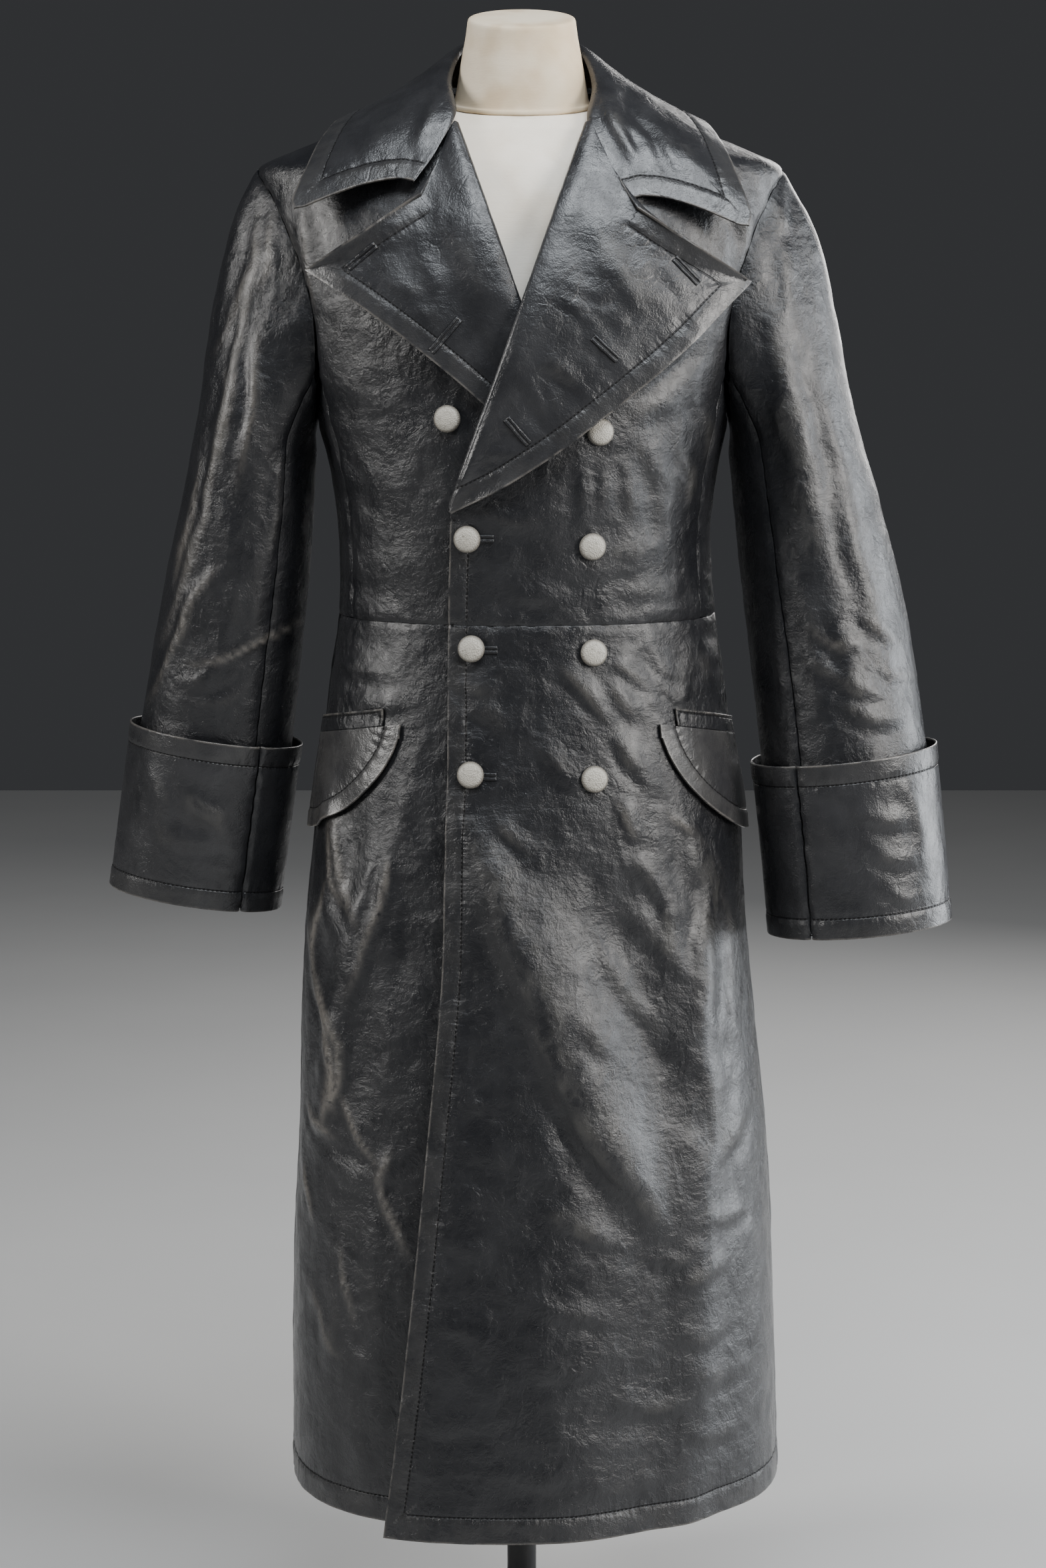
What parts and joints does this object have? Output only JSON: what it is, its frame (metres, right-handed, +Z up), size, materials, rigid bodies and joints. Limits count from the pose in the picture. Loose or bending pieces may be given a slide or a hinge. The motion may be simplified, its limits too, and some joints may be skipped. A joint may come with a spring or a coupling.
{
  "type": "leather coat on a dress form",
  "caption": "Long double-breasted black leather coat with wide lapels, broad collar, turned-back cuffs and flap pockets, hung on a limbless dress form with a pole and round base.",
  "frame": {"origin": "centre of the underside of the base, on the floor", "axes": "+Z up; the coat faces -Y; +X is the wearer's left"},
  "size_m": [0.7904, 0.4958, 1.5777],
  "materials": {
    "black_leather": "worn black leather with a soft sheen and fine creases",
    "brown_leather": "matt taupe brown leather inside the collar",
    "pale_button": "pale grey, finely pebbled, satin",
    "cream_canvas": "plain cream canvas",
    "tan_canvas": "cream canvas stained tan",
    "black_metal": "satin black"
  },
  "bodies": {
    "root": {"back_bodice": "black_leather", "left_side_body": "black_leather", "right_side_body": "black_leather", "left_front_bodice": "black_leather", "right_front_bodice": "black_leather", "back_skirt": "black_leather", "left_front_skirt": "black_leather", "right_front_skirt": "black_leather", "left_lapel": "black_leather", "right_lapel": "black_leather", "collar_stand": "brown_leather", "collar_leaf": "black_leather", "left_top_sleeve": "black_leather", "left_under_sleeve": "black_leather", "left_cuff": "black_leather", "right_top_sleeve": "black_leather", "right_under_sleeve": "black_leather", "right_cuff": "black_leather", "left_pocket_flap": "black_leather", "left_pocket_welt": "black_leather", "right_pocket_flap": "black_leather", "right_pocket_welt": "black_leather", "left_button_1": "pale_button", "left_button_2": "pale_button", "left_button_3": "pale_button", "left_button_4": "pale_button", "right_button_1": "pale_button", "right_button_2": "pale_button", "right_button_3": "pale_button", "right_button_4": "pale_button", "form_torso": "cream_canvas", "form_neck": "tan_canvas", "form_pole": "black_metal", "form_base": "black_metal"}
  },
  "joints": []
}
